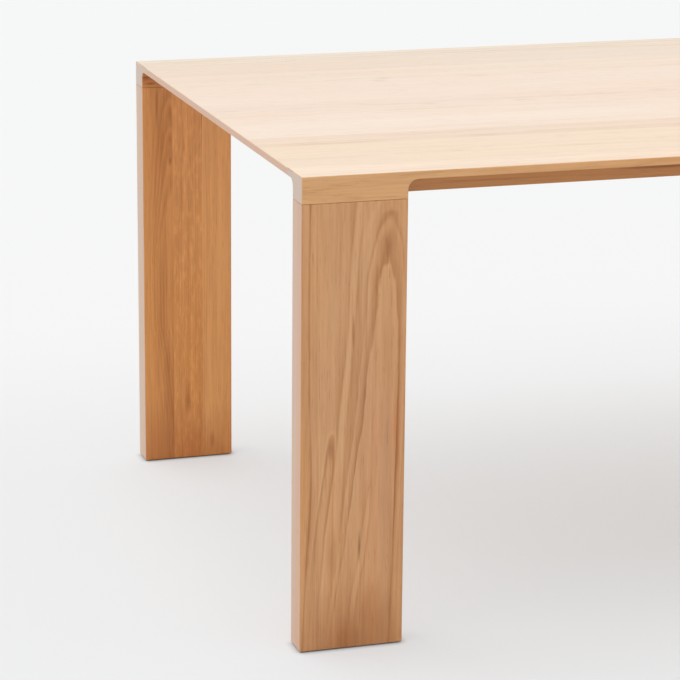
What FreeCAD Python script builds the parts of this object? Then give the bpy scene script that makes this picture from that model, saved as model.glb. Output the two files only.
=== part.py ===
import os
from itertools import product

import FreeCAD
import Part
import Sketcher

# Parsons dining table in solid wood.
#
# Four plank legs stand flush with the sides and the ends of the top.  The top is thick only where it
# has to be: a core of full thickness carries it, while its rim is undercut to a thin lip between the
# legs.  Above each leg the rim keeps its full thickness as an ear, cut from the same plank as the lip
# and blended into it by a hollow corner, so that ear and leg read as one upright.
#
# The origin is on the floor under the middle of the table, +X runs along it, +Y to its back, +Z up.
# All sizes are in millimetres.  Sizes along X at a corner are counted from the table's end, and sizes
# along Y from its side.

DRIVING_SIZES = (
    # the table as a whole
    ("table_length", 2130, "length of the top"),
    ("table_width", 1060, "width of the top"),
    ("table_height", 750, "floor to table top"),
    # the boards of the top, from front to back; they share the width between the two side rails
    ("board_1_share", 150, "share of top board 1"),
    ("board_2_share", 72, "share of top board 2"),
    ("board_3_share", 115, "share of top board 3"),
    ("board_4_share", 115, "share of top board 4"),
    ("board_5_share", 119, "share of top board 5"),
    ("board_6_share", 119, "share of top board 6"),
    ("board_7_share", 107, "share of top board 7"),
    ("board_8_share", 107, "share of top board 8"),
    ("panel_thickness", 22, "thickness of the top boards"),
    # the side rails and the undercut rim
    ("rail_width", 78, "width of the plank along each side"),
    ("rail_thickness", 41, "thickness of that plank, and of the core"),
    ("lip_thickness", 12, "what the undercut leaves of the rim"),
    ("end_undercut", 48, "how far the undercut reaches in from an end"),
    ("side_ear_radius", 16, "hollow corner between an ear and the lip, seen from the side"),
    ("end_ear_radius", 12, "hollow corner between an ear and the lip, seen from the end"),
    ("edge_bevel", 1, "bevel along the edges that hands meet"),
    # the legs: one wide board outside, glued to staves inside
    ("stave_width", 55.5, "width of one stave of a leg"),
    ("stave_thickness", 24, "thickness of the staves"),
    ("face_board_thickness", 24, "thickness of the board outside the staves"),
    ("foot_bevel", 0.9, "bevel round the foot of a leg"),
    # the joint between a leg and its ear
    ("seam_gap", 0.4, "shadow gap between an ear and its leg"),
    ("seam_bevel", 0.4, "bevel along that gap"),
    ("tenon_thickness", 16, "thickness of the tenon on top of the staves"),
    ("tenon_inset", 12, "shoulder at each edge of that tenon"),
    ("mortise_depth", 29, "depth of its mortise in the ear"),
    ("mortise_clearance", 0.2, "room round a tenon in its mortise"),
    # felt pads under the legs
    ("pad_thickness", 2, "thickness of a foot pad"),
    ("pad_inset", 6, "how far a pad stays inside the foot"),
    ("pad_corner_bevel", 3, "cut corners of a pad"),
    # cross members in dovetail grooves under the top boards
    ("batten_width", 60, "width of a batten"),
    ("end_rail_width", 38, "width of the cross member that closes the core at an end"),
    ("member_bevel", 1.5, "bevel along their lower edges"),
    ("batten_spacing", 530, "distance between battens"),
    ("movement_gap", 2, "room for the top to shrink past a cross member"),
    ("dovetail_neck", 24, "width of a dovetail at the underside of the boards"),
    ("dovetail_depth", 8, "how far it reaches into the boards"),
    ("dovetail_flare", 2, "how much further each side reaches out at the top of it"),
    ("dovetail_clearance", 0.15, "room round it in its groove"),
    # bolts that lock the tenons
    ("near_bolt", 98, "from the table's end to the bolt in stave 2"),
    ("far_bolt", 139, "from the table's end to the bolt in stave 3"),
    ("bolt_diameter", 8, "bolts through the core of a side rail into a tenon"),
    ("bolt_head_width", 13, "across the flats of their hexagon heads"),
    ("bolt_head_thickness", 5.3, "height of those heads"),
    ("bolt_tip_gap", 1, "room past a bolt's tip in its insert"),
    ("bolt_clearance", 0.4, "room round a bolt in the rail"),
    ("insert_diameter", 12, "threaded inserts in the tenons"),
    ("insert_length", 14, "their length"),
    ("hole_clearance", 0.1, "room round an insert, and round a bolt in it"),
)

BOARDS = range(1, 9)
STAVES = range(1, 4)
ENDS = {"left": -1, "right": 1}
SIDES = {"front": -1, "back": 1}
ALONG = FreeCAD.Vector(1, 0, 0)
ACROSS = FreeCAD.Vector(0, 1, 0)
UPWARD = FreeCAD.Vector(0, 0, 1)
HALF_TURN = 180
HEXAGON_RATIO = 0.75 ** 0.5
TOLERANCE = 1e-4
POINTS_PER_EDGE = 3

doc = FreeCAD.newDocument("ParsonsTable")


# ---------------------------------------------------------------- sizes

class Formula:
    """A formula over the cells of the sheet, written with Python's own signs."""

    def __init__(self, text):
        self.text = str(text)

    def __str__(self):
        return self.text

    def __add__(self, other):
        return Formula(f"({self} + {other})")

    def __radd__(self, other):
        return Formula(f"({other} + {self})")

    def __sub__(self, other):
        return Formula(f"({self} - {other})")

    def __rsub__(self, other):
        return Formula(f"({other} - {self})")

    def __neg__(self):
        return 0 - self

    def __mul__(self, other):
        return Formula(f"({self} * {other})")

    def __rmul__(self, other):
        return Formula(f"({other} * {self})")

    def __truediv__(self, other):
        return Formula(f"({self} / {other})")


class SizeSheet:
    """The spreadsheet of driving sizes; sheet.rail_width is the formula that names that cell."""

    def __init__(self, rows):
        self.cells = doc.addObject("Spreadsheet::Sheet", "Sizes")
        self.aliases = [alias for alias, value, meaning in rows]
        for row, (alias, value, meaning) in enumerate(rows, start=1):
            self.cells.set(f"A{row}", alias)
            self.cells.set(f"B{row}", str(value))
            self.cells.set(f"C{row}", meaning)
            self.cells.setAlias(f"B{row}", alias)
        doc.recompute()

    def __getattr__(self, alias):
        if alias not in self.aliases:
            raise AttributeError(alias)
        return Formula(f"Sizes.{alias}")

    def number(self, formula):
        """The value of a formula, for finding edges and for a sketch's first draft."""
        return float(self.cells.evalExpression(str(formula)))


size = SizeSheet(DRIVING_SIZES)


# across the table
HALF_WIDTH = size.table_width / 2
HALF_LENGTH = size.table_length / 2
PANEL_WIDTH = size.table_width - 2 * size.rail_width
BOARD_SHARES = {number: getattr(size, f"board_{number}_share") for number in BOARDS}
ALL_SHARES = sum(BOARD_SHARES.values(), Formula(0))
BOARD_WIDTHS = {number: PANEL_WIDTH * share / ALL_SHARES for number, share in BOARD_SHARES.items()}

# the legs
LEG_WIDTH = size.stave_width * len(STAVES)
LEG_THICKNESS = size.face_board_thickness + size.stave_thickness

# levels above the floor
CORE_LEVEL = size.table_height - size.rail_thickness
PANEL_LEVEL = size.table_height - size.panel_thickness
LEG_TOP = CORE_LEVEL - size.seam_gap
LEG_LENGTH = LEG_TOP - size.pad_thickness

# depths under the top
UNDERCUT_HEIGHT = size.rail_thickness - size.lip_thickness
REBATE_HEIGHT = size.panel_thickness - size.lip_thickness
MEMBER_THICKNESS = size.rail_thickness - size.panel_thickness

# the tenon that the staves of a leg carry together; it bottoms in its mortise, which leaves the seam gap
TENON_HEIGHT = size.mortise_depth + size.seam_gap
TENON_NEAR = size.tenon_inset
TENON_FAR = LEG_WIDTH - size.tenon_inset
TENON_FRONT = size.face_board_thickness
TENON_BACK = size.face_board_thickness + size.tenon_thickness

# the bolts: one for each stave that has the core behind it, clear of the end rail
BOLT_LEVEL = MEMBER_THICKNESS / 2
BOLT_COLUMNS = {STAVES[1]: size.near_bolt, STAVES[2]: size.far_bolt}
INSERT_HOLE_RADIUS = size.insert_diameter / 2 + size.hole_clearance
BOLT_LENGTH = size.rail_width - TENON_BACK + size.insert_length - size.bolt_tip_gap

# cross members between the side rails
MEMBER_HALF_LENGTH = PANEL_WIDTH / 2 - size.movement_gap
END_RAIL_PLACE = HALF_LENGTH - size.end_undercut - size.end_rail_width / 2
CROSS_MEMBERS = {
    "end_rail_left": (-END_RAIL_PLACE, size.end_rail_width),
    "batten_left": (-size.batten_spacing, size.batten_width),
    "batten_middle": (Formula(0), size.batten_width),
    "batten_right": (size.batten_spacing, size.batten_width),
    "end_rail_right": (END_RAIL_PLACE, size.end_rail_width),
}


def board_front(number):
    """How far a top board's front edge lies behind the middle of the table."""
    before = sum((BOARD_WIDTHS[other] for other in BOARDS if other < number), Formula(0))
    return before - PANEL_WIDTH / 2


# ---------------------------------------------------------------- sketches and features

def new_body(label):
    body = doc.addObject("PartDesign::Body", label)
    body.Label = label
    return body


def origin_plane(body, role):
    return next(plane for plane in body.Origin.OriginFeatures if plane.Role == role)


def new_sketch(body, name, role, offset=None):
    """A sketch on one of the body's own origin planes, or offset from it along its normal."""
    sketch = body.newObject("Sketcher::SketchObject", f"{body.Label}_{name}")
    sketch.AttachmentSupport = [(origin_plane(body, role), "")]
    sketch.MapMode = "FlatFace"
    if offset is not None:
        sketch.setExpression(".AttachmentOffset.Base.z", str(offset))
    return sketch


def pin_point(sketch, geometry, point, x, y):
    """Hold a point of a sketch at x and y, both counted from the sketch's origin."""
    for kind, place in (("DistanceX", x), ("DistanceY", y)):
        first = size.number(place)
        row = sketch.addConstraint(Sketcher.Constraint(kind, -1, 1, geometry, point, first))
        sketch.setExpression(f"Constraints[{row}]", str(place))


def draw_polygon(sketch, corners):
    """A closed outline of straight lines, with each corner held by its two distances."""
    drafts = [FreeCAD.Vector(size.number(x), size.number(y), 0) for x, y in corners]
    first = sketch.GeometryCount
    count = len(corners)
    for index in range(count):
        line = Part.LineSegment(drafts[index], drafts[(index + 1) % count])
        sketch.addGeometry(line)
    for index in range(count):
        following = first + (index + 1) % count
        sketch.addConstraint(Sketcher.Constraint("Coincident", first + index, 2, following, 1))
    for index, (x, y) in enumerate(corners):
        pin_point(sketch, first + index, 1, x, y)


def draw_rectangle(sketch, x_low, y_low, x_high, y_high):
    draw_polygon(sketch, [(x_low, y_low), (x_high, y_low), (x_high, y_high), (x_low, y_high)])


def draw_circle(sketch, x, y, radius):
    centre = FreeCAD.Vector(size.number(x), size.number(y), 0)
    circle = Part.Circle(centre, UPWARD, size.number(radius))
    index = sketch.addGeometry(circle)
    pin_point(sketch, index, 3, x, y)
    row = sketch.addConstraint(Sketcher.Constraint("Radius", index, size.number(radius)))
    sketch.setExpression(f"Constraints[{row}]", str(radius))


def add_pad(body, sketch, length, both_ways=False):
    pad = body.newObject("PartDesign::Pad", f"{sketch.Name}_pad")
    pad.Profile = sketch
    pad.SideType = "Symmetric" if both_ways else "One side"
    pad.setExpression("Length", str(length))
    return pad


def add_pocket(body, sketch, depth, upward=False):
    """Cut a sketch into the body, against the sketch's normal, or along it where it opens upward."""
    doc.recompute()
    before = body.Shape.Volume
    pocket = body.newObject("PartDesign::Pocket", f"{sketch.Name}_pocket")
    pocket.Profile = sketch
    pocket.Reversed = upward
    pocket.setExpression("Length", str(depth))
    doc.recompute()
    if body.Shape.Volume > before - TOLERANCE:
        raise RuntimeError(f"{pocket.Name} cuts nothing")
    return pocket


def mirror_features(body, name, features, role):
    """Repeat features on the other side of one of the body's origin planes."""
    doc.recompute()
    mirrored = body.newObject("PartDesign::Mirrored", f"{body.Label}_{name}_mirrored")
    mirrored.Originals = features
    mirrored.MirrorPlane = (origin_plane(body, role), [""])
    body.Tip = mirrored
    return mirrored


def at(axis, place):
    """A test that a point lies as far from an origin plane, on either side, as place says."""
    level = size.number(place)
    return lambda point: abs(abs(getattr(point, axis)) - level) < TOLERANCE


def beyond(axis, place):
    """A test that a point lies at least that far out, on either side."""
    level = size.number(place)
    return lambda point: abs(getattr(point, axis)) > level - TOLERANCE


def find_edges(body, *tests):
    """Names of the edges of a body that pass every test from end to end."""
    doc.recompute()
    names = set()
    for index, edge in enumerate(body.Shape.Edges, start=1):
        if edge.Degenerated:
            continue
        points = edge.discretize(POINTS_PER_EDGE)
        if all(test(point) for test in tests for point in points):
            names.add(f"Edge{index}")
    return names


def round_edges(body, name, edges, radius):
    rough = body.Tip
    fillet = body.newObject("PartDesign::Fillet", f"{body.Label}_{name}")
    fillet.Base = (rough, sorted(edges))
    fillet.setExpression("Radius", str(radius))
    body.Tip = fillet
    doc.recompute()
    return fillet


def bevel_edges(body, name, edges, width):
    sharp = body.Tip
    chamfer = body.newObject("PartDesign::Chamfer", f"{body.Label}_{name}")
    chamfer.Base = (sharp, sorted(edges))
    chamfer.setExpression("Size", str(width))
    body.Tip = chamfer
    doc.recompute()
    return chamfer


def place_at(piece, x, y, z):
    for axis, place in (("x", x), ("y", y), ("z", z)):
        piece.setExpression(f".Placement.Base.{axis}", str(place))


def mirror_piece(source, label, axis):
    """The opposite piece, on the other side of the table's middle plane across an axis."""
    piece = doc.addObject("Part::Mirroring", label)
    piece.Label = label
    piece.Source = source
    piece.Normal = axis
    return piece


# ---------------------------------------------------------------- the top

def build_side_rail(label):
    """The plank along the front: an ear over each leg, the lip between them and the core behind.

    Its own origin is at the middle of its length, on its outer face and its underside.
    """
    rail = new_body(label)
    section = new_sketch(rail, "section", "YZ_Plane")
    draw_rectangle(section, 0, 0, size.rail_width, size.rail_thickness)
    add_pad(rail, section, size.table_length, both_ways=True)

    ear_face = HALF_LENGTH - LEG_WIDTH
    undercut = new_sketch(rail, "undercut", "XZ_Plane")
    draw_rectangle(undercut, -ear_face, 0, ear_face, UNDERCUT_HEIGHT)
    add_pocket(rail, undercut, LEG_THICKNESS)

    end = new_sketch(rail, "end_undercut", "YZ_Plane", HALF_LENGTH)
    draw_rectangle(end, LEG_THICKNESS, 0, size.rail_width, UNDERCUT_HEIGHT)
    end_pocket = add_pocket(rail, end, size.end_undercut)
    mirror_features(rail, "ends", [end_pocket], "YZ_Plane")

    ceiling = at("z", UNDERCUT_HEIGHT)
    side_corners = find_edges(rail, ceiling, at("x", ear_face))
    round_edges(rail, "side_ears", side_corners, size.side_ear_radius)
    end_corners = find_edges(
        rail, ceiling, at("y", LEG_THICKNESS), beyond("x", HALF_LENGTH - size.end_undercut)
    )
    round_edges(rail, "end_ears", end_corners, size.end_ear_radius)

    outer = find_edges(rail, at("y", 0)) | find_edges(rail, at("x", HALF_LENGTH))
    glued = find_edges(rail, at("y", size.rail_width))
    underside = find_edges(rail, at("z", 0))
    bevel_edges(rail, "edges", outer - glued - underside, size.edge_bevel)
    over_legs = find_edges(rail, at("z", 0), beyond("x", ear_face))
    inner = find_edges(rail, at("z", 0), beyond("y", LEG_THICKNESS))
    bevel_edges(rail, "seam", over_legs - inner, size.seam_bevel)

    room = size.mortise_clearance
    mortise = new_sketch(rail, "mortise", "XY_Plane")
    draw_rectangle(
        mortise,
        HALF_LENGTH - TENON_FAR - room,
        TENON_FRONT - room,
        HALF_LENGTH - TENON_NEAR + room,
        TENON_BACK + room,
    )
    mortise_pocket = add_pocket(rail, mortise, size.mortise_depth, upward=True)
    bores = new_sketch(rail, "bolt_bores", "XZ_Plane", -size.rail_width)
    for column in BOLT_COLUMNS.values():
        draw_circle(
            bores, HALF_LENGTH - column, BOLT_LEVEL, size.bolt_diameter / 2 + size.bolt_clearance
        )
    bore_pocket = add_pocket(rail, bores, size.rail_width - TENON_BACK, upward=True)
    mirror_features(rail, "joints", [mortise_pocket, bore_pocket], "YZ_Plane")

    place_at(rail, 0, -HALF_WIDTH, CORE_LEVEL)
    return rail


def dovetail(x, foot, room):
    """Corners of a dovetail at x along the table, from the level of its foot, with room round it."""
    neck = size.dovetail_neck / 2 + room
    head = neck + size.dovetail_flare
    top = foot + size.dovetail_depth + room
    return [(x - neck, foot), (x + neck, foot), (x + head, top), (x - head, top)]


def build_top_board(number):
    """A board of the top, rebated below at both ends for the lip and grooved for the cross members."""
    board = new_body(f"top_board_{number}")
    width = BOARD_WIDTHS[number]
    section = new_sketch(board, "section", "YZ_Plane")
    draw_rectangle(section, 0, 0, width, size.panel_thickness)
    add_pad(board, section, size.table_length, both_ways=True)

    rebate = new_sketch(board, "rebate", "YZ_Plane", HALF_LENGTH)
    draw_rectangle(rebate, 0, 0, width, REBATE_HEIGHT)
    rebate_pocket = add_pocket(board, rebate, size.end_undercut)
    mirror_features(board, "ends", [rebate_pocket], "YZ_Plane")
    glued = find_edges(board, at("y", 0)) | find_edges(board, at("y", width))
    end_edges = find_edges(board, at("x", HALF_LENGTH))
    bevel_edges(board, "ends_bevelled", end_edges - glued, size.edge_bevel)

    grooves = new_sketch(board, "grooves", "XZ_Plane")
    for x, _ in CROSS_MEMBERS.values():
        draw_polygon(grooves, dovetail(x, 0, size.dovetail_clearance))
    add_pocket(board, grooves, width)

    place_at(board, 0, board_front(number), PANEL_LEVEL)
    return board


def build_cross_member(label, x, width):
    """A batten or an end rail, whose dovetail slides in its groove as the top swells across it."""
    member = new_body(label)
    half_width = width / 2
    left_foot, right_foot, right_head, left_head = dovetail(0, MEMBER_THICKNESS, 0)
    section = new_sketch(member, "section", "XZ_Plane")
    draw_polygon(
        section,
        [
            (-half_width, 0),
            (half_width, 0),
            (half_width, MEMBER_THICKNESS),
            right_foot,
            right_head,
            left_head,
            left_foot,
            (-half_width, MEMBER_THICKNESS),
        ],
    )
    add_pad(member, section, 2 * MEMBER_HALF_LENGTH, both_ways=True)
    long_edges = find_edges(member, at("x", half_width), at("z", 0))
    bevel_edges(member, "edges", long_edges, size.member_bevel)
    place_at(member, x, 0, CORE_LEVEL)
    return member


# ---------------------------------------------------------------- legs

def dress_plank(plank, glued):
    """Ease the free edges of a leg's plank; glued lists tests for the faces that stay sharp."""

    def free_edges(*tests):
        edges = find_edges(plank, *tests)
        for face in glued:
            edges -= find_edges(plank, face)
        return edges

    ends = find_edges(plank, at("z", 0)) | find_edges(plank, at("z", LEG_LENGTH))
    corners = free_edges() - ends
    if corners:
        bevel_edges(plank, "corners", corners, size.edge_bevel)
    bevel_edges(plank, "seam", free_edges(at("z", LEG_LENGTH)), size.seam_bevel)
    bevel_edges(plank, "foot", free_edges(at("z", 0)), size.foot_bevel)


def build_face_board(label):
    """The wide outer board of the front left leg."""
    board = new_body(label)
    thickness = size.face_board_thickness
    outline = new_sketch(board, "outline", "XY_Plane")
    draw_rectangle(outline, 0, 0, LEG_WIDTH, thickness)
    add_pad(board, outline, LEG_LENGTH)
    dress_plank(board, [at("y", thickness)])
    place_at(board, -HALF_LENGTH, -HALF_WIDTH, size.pad_thickness)
    return board


def build_stave(label, number):
    """A stave behind the face board, counted from the table's end, with its share of the tenon."""
    stave = new_body(label)
    width = size.stave_width
    near_edge = width * STAVES.index(number)
    first = number == STAVES[0]
    last = number == STAVES[-1]
    outline = new_sketch(stave, "outline", "XY_Plane")
    draw_rectangle(outline, 0, 0, width, size.stave_thickness)
    add_pad(stave, outline, LEG_LENGTH)
    glued = [at("y", 0)]
    if not first:
        glued.append(at("x", 0))
    if not last:
        glued.append(at("x", width))
    dress_plank(stave, glued)

    tenon = new_sketch(stave, "tenon", "XY_Plane", LEG_LENGTH)
    near = TENON_NEAR if first else 0
    far = width - size.tenon_inset if last else width
    draw_rectangle(tenon, near, 0, far, size.tenon_thickness)
    add_pad(stave, tenon, TENON_HEIGHT)
    if number in BOLT_COLUMNS:
        bore = new_sketch(stave, "insert_bore", "XZ_Plane", -size.tenon_thickness)
        level = LEG_LENGTH + size.seam_gap + BOLT_LEVEL
        draw_circle(bore, BOLT_COLUMNS[number] - near_edge, level, INSERT_HOLE_RADIUS)
        add_pocket(stave, bore, size.insert_length, upward=True)

    front = size.face_board_thickness - HALF_WIDTH
    place_at(stave, near_edge - HALF_LENGTH, front, size.pad_thickness)
    return stave


def build_foot_pad(label):
    """The felt pad under the front left leg."""
    pad = new_body(label)
    outline = new_sketch(pad, "outline", "XY_Plane")
    inset = size.pad_inset
    draw_rectangle(outline, inset, inset, LEG_WIDTH - inset, LEG_THICKNESS - inset)
    add_pad(pad, outline, size.pad_thickness)
    flat = find_edges(pad, at("z", 0)) | find_edges(pad, at("z", size.pad_thickness))
    bevel_edges(pad, "corners", find_edges(pad) - flat, size.pad_corner_bevel)
    place_at(pad, -HALF_LENGTH, -HALF_WIDTH, 0)
    return pad


# ---------------------------------------------------------------- fasteners

def build_rail_bolt():
    """A hexagon bolt, with the seat of its head on its own origin and its shank towards +Y."""
    bolt = new_body("rail_bolt")
    flat = size.bolt_head_width / 2
    corner = flat / HEXAGON_RATIO
    head = new_sketch(bolt, "head", "XZ_Plane")
    draw_polygon(
        head,
        [
            (corner, Formula(0)),
            (corner / 2, flat),
            (-corner / 2, flat),
            (-corner, Formula(0)),
            (-corner / 2, -flat),
            (corner / 2, -flat),
        ],
    )
    add_pad(bolt, head, size.bolt_head_thickness)
    shank = new_sketch(bolt, "shank", "XZ_Plane", -BOLT_LENGTH)
    draw_circle(shank, 0, 0, size.bolt_diameter / 2)
    add_pad(bolt, shank, BOLT_LENGTH)
    return bolt


def build_insert():
    """A threaded insert, with its mouth on its own origin and its length towards +Y."""
    insert = new_body("insert")
    ring = new_sketch(insert, "ring", "XZ_Plane", -size.insert_length)
    draw_circle(ring, 0, 0, size.insert_diameter / 2)
    draw_circle(ring, 0, 0, size.bolt_diameter / 2 + size.hole_clearance)
    add_pad(insert, ring, size.insert_length)
    return insert


def at_bolts(label, master, row):
    """One node with a copy of a fastener at every bolt, its origin that far from the table's side."""
    copies = []
    places = product(ENDS.values(), SIDES.values(), BOLT_COLUMNS.values())
    for number, (along, across, column) in enumerate(places, start=1):
        copy = doc.addObject("App::Link", f"{label}_{number}")
        copy.LinkedObject = master
        x = along * (HALF_LENGTH - column)
        y = across * (HALF_WIDTH - row)
        level = CORE_LEVEL + BOLT_LEVEL
        for axis, place in (("x", x), ("y", y), ("z", level)):
            copy.setExpression(f".LinkPlacement.Base.{axis}", str(place))
        if across == SIDES["front"]:
            turned = FreeCAD.Rotation(UPWARD, HALF_TURN)
            copy.LinkPlacement = FreeCAD.Placement(copy.LinkPlacement.Base, turned)
        copies.append(copy)
    group = doc.addObject("Part::Compound", label)
    group.Label = label
    group.Links = copies
    return group


# ---------------------------------------------------------------- assembly

def at_every_corner(name, build):
    """A piece built at the front left corner and mirrored to the other three."""
    front_left = build(f"{name}_front_left")
    front_right = mirror_piece(front_left, f"{name}_front_right", ALONG)
    back_left = mirror_piece(front_left, f"{name}_back_left", ACROSS)
    back_right = mirror_piece(front_right, f"{name}_back_right", ACROSS)
    return [front_left, front_right, back_left, back_right]


def build_top():
    front = build_side_rail("side_rail_front")
    back = mirror_piece(front, "side_rail_back", ACROSS)
    return [front, back] + [build_top_board(number) for number in BOARDS]


def build_underside():
    return [build_cross_member(label, x, width) for label, (x, width) in CROSS_MEMBERS.items()]


def build_legs():
    pieces = at_every_corner("leg_face_board", build_face_board)
    for number in STAVES:
        pieces += at_every_corner(
            f"leg_stave_{number}", lambda label, number=number: build_stave(label, number)
        )
    return pieces + at_every_corner("foot_pad", build_foot_pad)


def build_fasteners():
    return [
        at_bolts("rail_bolts", build_rail_bolt(), size.rail_width),
        at_bolts("threaded_inserts", build_insert(), TENON_BACK),
    ]


def check_document():
    """Stop if any object of the document failed to build."""
    doc.recompute()
    for item in doc.Objects:
        if "Invalid" in item.State or "Error" in item.State:
            raise RuntimeError(f"{item.Label} is in state {item.State}")


def write_parts(pieces):
    """Write each piece to a STEP file of its own, named after it."""
    for piece in pieces:
        if piece.Shape.isNull() or not piece.Shape.isValid():
            raise RuntimeError(f"{piece.Label} has no valid shape")
    os.makedirs("parts", exist_ok=True)
    for piece in pieces:
        piece.Shape.exportStep(os.path.join("parts", f"{piece.Label}.step"))


def main():
    pieces = build_top() + build_underside() + build_legs() + build_fasteners()
    check_document()
    write_parts(pieces)
    print(f"{len(pieces)} pieces written")


main()
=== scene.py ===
"""Looks of a parsons dining table in pale solid wood under a clear matt lacquer.

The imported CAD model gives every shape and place.  This script dresses each board of it in solid
wood with growth rings of its own, and stands the table in a white studio.
"""

import logging
import math
import random
from dataclasses import dataclass, field, replace
from enum import Enum
from functools import partial
from typing import Any, Optional, Sequence

import bpy
from mathutils import Matrix, Vector

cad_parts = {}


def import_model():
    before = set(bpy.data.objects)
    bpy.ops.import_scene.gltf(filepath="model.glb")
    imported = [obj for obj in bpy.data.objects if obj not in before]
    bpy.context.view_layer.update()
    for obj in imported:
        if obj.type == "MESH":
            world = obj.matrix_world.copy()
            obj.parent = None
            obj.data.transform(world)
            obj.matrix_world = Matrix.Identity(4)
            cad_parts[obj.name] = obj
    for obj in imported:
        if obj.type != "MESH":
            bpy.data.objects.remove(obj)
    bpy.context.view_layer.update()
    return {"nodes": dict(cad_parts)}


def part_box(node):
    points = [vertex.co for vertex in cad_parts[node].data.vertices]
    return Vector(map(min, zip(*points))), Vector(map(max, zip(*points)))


log = logging.getLogger("parsons_table")

Colour = tuple[float, float, float]
Triple = tuple[float, float, float]
Pairs = Sequence[tuple[float, float]]
Socket = Any

# The middle of the noise nodes' range from 0 to 1.
NOISE_MIDDLE = 0.5


class Grain(Enum):
    """The axis of the table along which a board's fibres run.

    The value lists the axes of the table that serve as a board's width, thickness and length.
    """

    ALONG = (1, 2, 0)
    ACROSS = (0, 2, 1)
    UPRIGHT = (0, 1, 2)


class Corner(Enum):
    """The corner that a leg stands at; the value ends the names of its pieces."""

    FRONT_LEFT = "front_left"
    FRONT_RIGHT = "front_right"
    BACK_LEFT = "back_left"
    BACK_RIGHT = "back_right"


class Blend(Enum):
    """How two colours are joined."""

    MIX = "MIX"
    MULTIPLY = "MULTIPLY"


# ------------ node trees


@dataclass(frozen=True)
class Texture:
    """Noise in a material: its waves per metre along each axis, its detail and its roughness."""

    stretch: Triple
    detail: float = 2.0
    roughness: float = 0.5


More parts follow.
